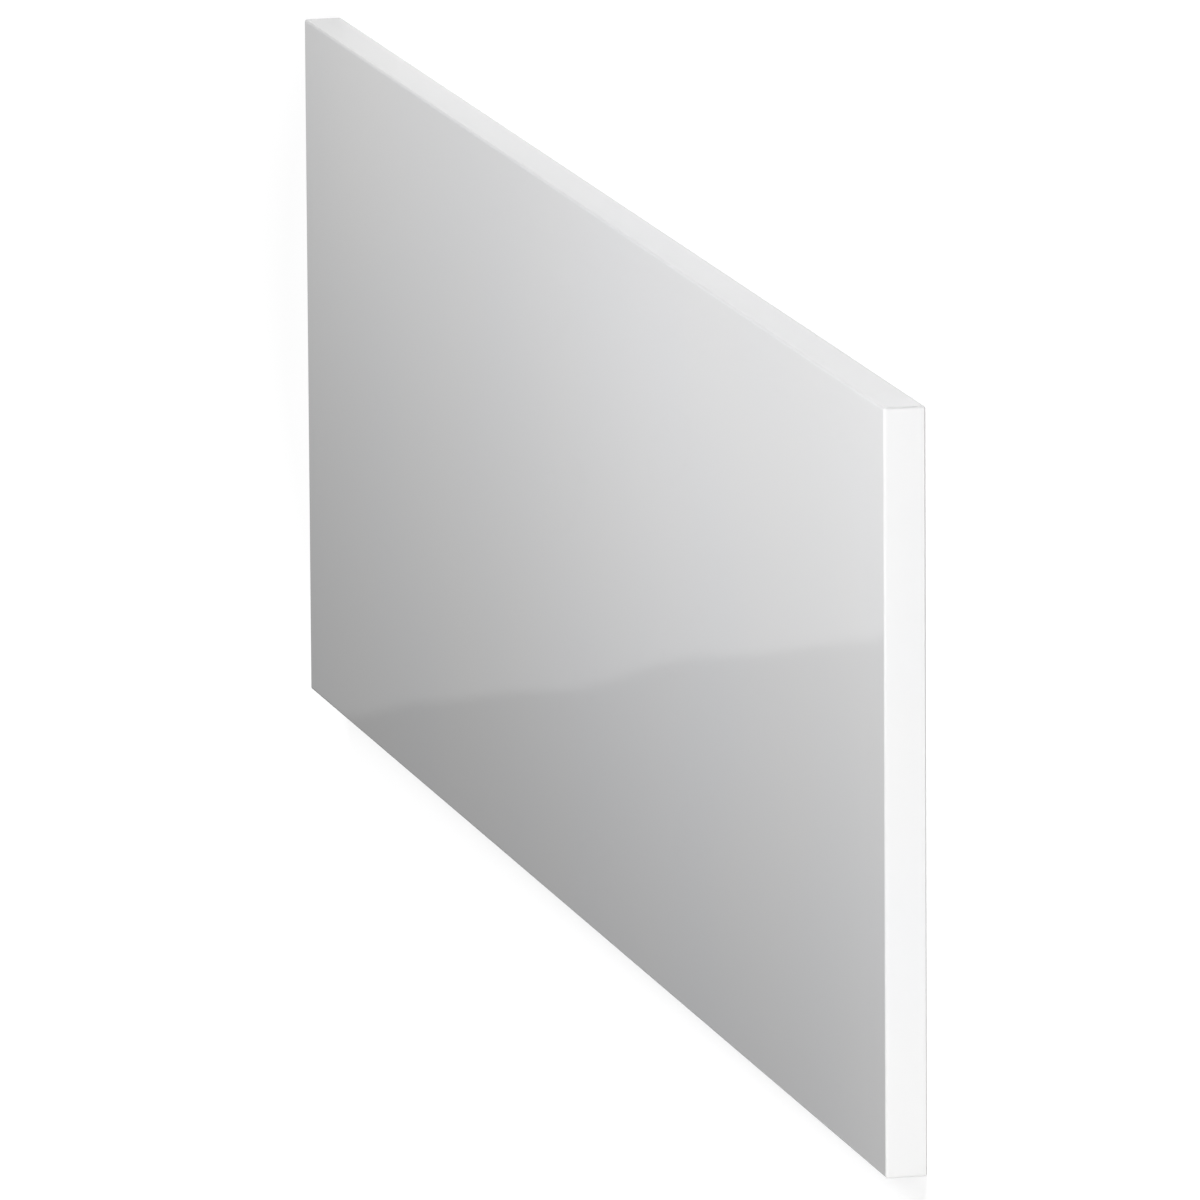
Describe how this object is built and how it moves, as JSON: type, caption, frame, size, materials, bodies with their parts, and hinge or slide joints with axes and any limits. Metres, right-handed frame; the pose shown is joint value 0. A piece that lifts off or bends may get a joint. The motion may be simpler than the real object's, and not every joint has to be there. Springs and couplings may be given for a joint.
{
  "type": "bath panel",
  "caption": "Flat rectangular gloss-white board with eased face edges that closes the long side of a bath from its rim down.",
  "frame": {"origin": "middle of the plain back, which lies on the floor", "axes": "+X along the panel's width, +Y towards the edge that goes up under the bath rim, +Z out of the gloss face"},
  "size_m": [1.7, 0.51, 0.028],
  "materials": {
    "gloss_white": "gloss"
  },
  "bodies": {
    "root": {"bath_panel": "gloss_white"}
  },
  "joints": []
}
